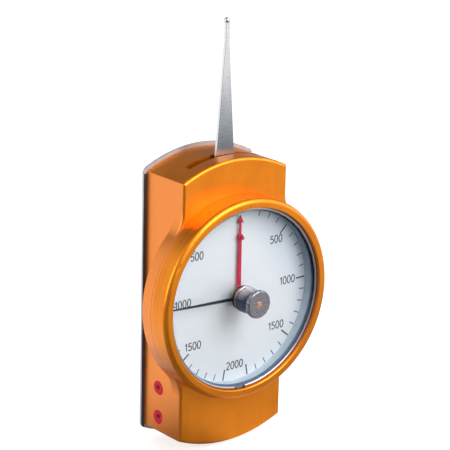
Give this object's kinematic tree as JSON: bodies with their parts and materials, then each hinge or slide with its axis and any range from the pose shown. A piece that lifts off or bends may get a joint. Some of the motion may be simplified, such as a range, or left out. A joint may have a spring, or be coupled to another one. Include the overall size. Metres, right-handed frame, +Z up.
{
  "type": "force gauge",
  "caption": "Hand-held dial force gauge: a ball-tipped feeler lever in a curved-top case turns a red pointer on a round dial, with a drag hand set back by a knurled knob.",
  "frame": {"origin": "outer face of the back plate, on the dial's axis", "axes": "+Y out of the back plate along the dial's axis, so the dial looks along -Y; +Z up along the feeler lever at rest; +X to the right seen from the front"},
  "size_m": [0.0614, 0.0307, 0.1301],
  "materials": {
    "orange_anodised": "orange anodised, satin",
    "polished_steel": "mirror polished",
    "steel": "fine ground",
    "blade_steel": "brushed along its length",
    "screw_steel": "turned",
    "spring_steel": "blued",
    "brass": "fine ground",
    "clear_glass": "clear",
    "rehaut_paint": "grey-blue satin",
    "silvered_dial": "silvered, with printed scale",
    "red_lacquer": "satin red",
    "black_lacquer": "satin black",
    "sealing_lacquer": "glossy red drop",
    "turned_nickel": "turned and plated",
    "washer_metal": "thin pink bronze"
  },
  "bodies": {
    "case": {"housing": "orange_anodised", "back_plate": "polished_steel", "back_plate_screws": "screw_steel", "retaining_ring": "polished_steel", "crystal": "clear_glass", "rehaut_ring": "rehaut_paint", "dial": "silvered_dial", "crystal_bush": "turned_nickel", "front_plate": "brass", "stop_pins": "steel", "pillars": "steel", "rear_bridge": "brass", "bridge_screws": "screw_steel", "pinion_cock": "brass", "cock_screws": "screw_steel", "lever_front_bush": "brass", "lever_rear_bush": "brass", "pointer_front_bush": "brass", "pointer_rear_bush": "brass", "hairspring_stud": "brass", "spring_block": "steel", "leaf_spring": "spring_steel", "spring_clamp": "steel", "clamp_screws": "screw_steel", "side_screws": "screw_steel", "seal_lacquer": "sealing_lacquer"},
    "lever": {"feeler_blade": "blade_steel", "feeler_ball": "polished_steel", "lever_arbor": "steel", "lever_hub": "brass", "lever_collar": "brass", "gear_sector": "brass", "spring_pins": "steel"},
    "pointer": {"pinion": "steel", "pointer_arbor": "steel", "pointer_hub": "brass", "pointer_hand": "red_lacquer", "drive_pin": "steel", "hairspring_collet": "brass", "hairspring": "spring_steel"},
    "drag": {"drag_hand": "black_lacquer", "drag_spindle": "steel", "friction_washer": "washer_metal", "knob": "turned_nickel", "knob_screw": "brass"}
  },
  "joints": [
    {"name": "lever_swing", "type": "hinge", "parent": "case", "child": "lever", "pos_m": [0, -0.01255, 0.018], "axis": [0, 1, 0], "range_deg": [-21.2, 21.2], "stiffness_Nm_per_rad": 3.35, "deforming": ["leaf_spring"]},
    {"name": "pointer_turn", "type": "hinge", "parent": "case", "child": "pointer", "pos_m": [0, -0.0147, 0], "axis": [0, 1, 0], "range_deg": [-170, 170]},
    {"name": "drag_turn", "type": "hinge", "parent": "case", "child": "drag", "pos_m": [0, -0.0247, 0], "axis": [0, 1, 0], "range_deg": [-269, 84]}
  ],
  "couplings": [
    {"joint": "pointer_turn", "follows": "lever_swing", "ratio": -8}
  ]
}
